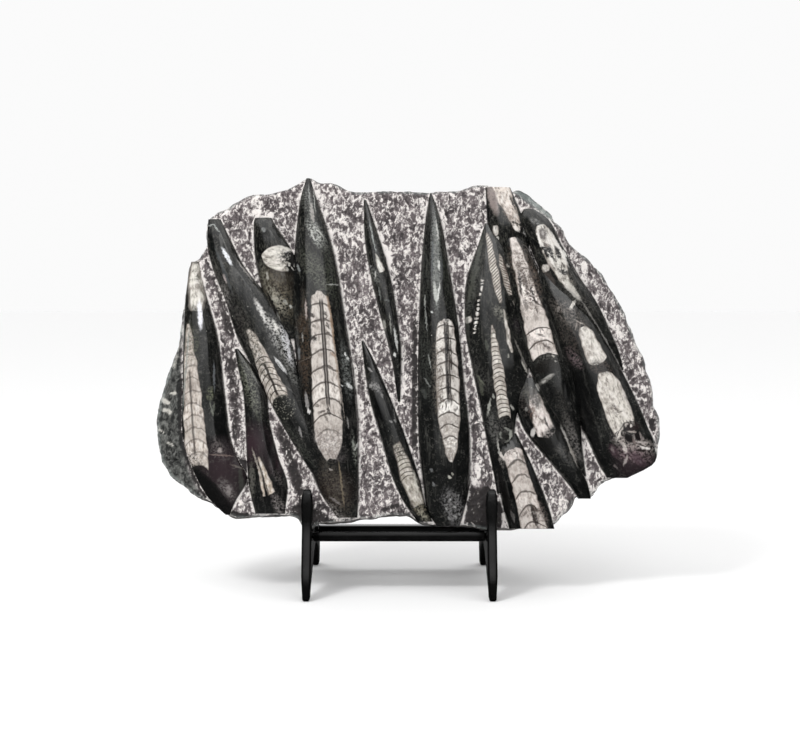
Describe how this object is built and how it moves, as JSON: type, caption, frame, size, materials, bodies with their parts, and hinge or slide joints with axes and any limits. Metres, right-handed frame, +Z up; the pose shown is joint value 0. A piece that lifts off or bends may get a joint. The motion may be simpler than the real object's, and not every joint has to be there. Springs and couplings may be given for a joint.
{
  "type": "orthoceras fossil slab on a stand",
  "caption": "Carved and polished slab of black limestone with long cone-shaped orthoceras fossils standing out of it, leaning on a black display stand.",
  "frame": {"origin": "on the floor, below the middle of the whole object's box", "axes": "+X to the right along the slab, +Y towards the back, +Z up; the slab's face looks towards -Y"},
  "size_m": [0.379, 0.16, 0.3105],
  "materials": {
    "limestone": "polished cones on a chiselled ground, sawn back",
    "lacquer": "black gloss lacquer",
    "screw_steel": "blackened steel"
  },
  "bodies": {
    "root": {"fossil_slab": "limestone", "stand_arm_left": "lacquer", "stand_arm_right": "lacquer", "ledge_rail": "lacquer", "back_rail": "lacquer", "foot_rail": "lacquer", "screw_ledge_left": "screw_steel", "screw_ledge_right": "screw_steel", "screw_back_left": "screw_steel", "screw_back_right": "screw_steel", "screw_foot_left": "screw_steel", "screw_foot_right": "screw_steel"}
  },
  "joints": []
}
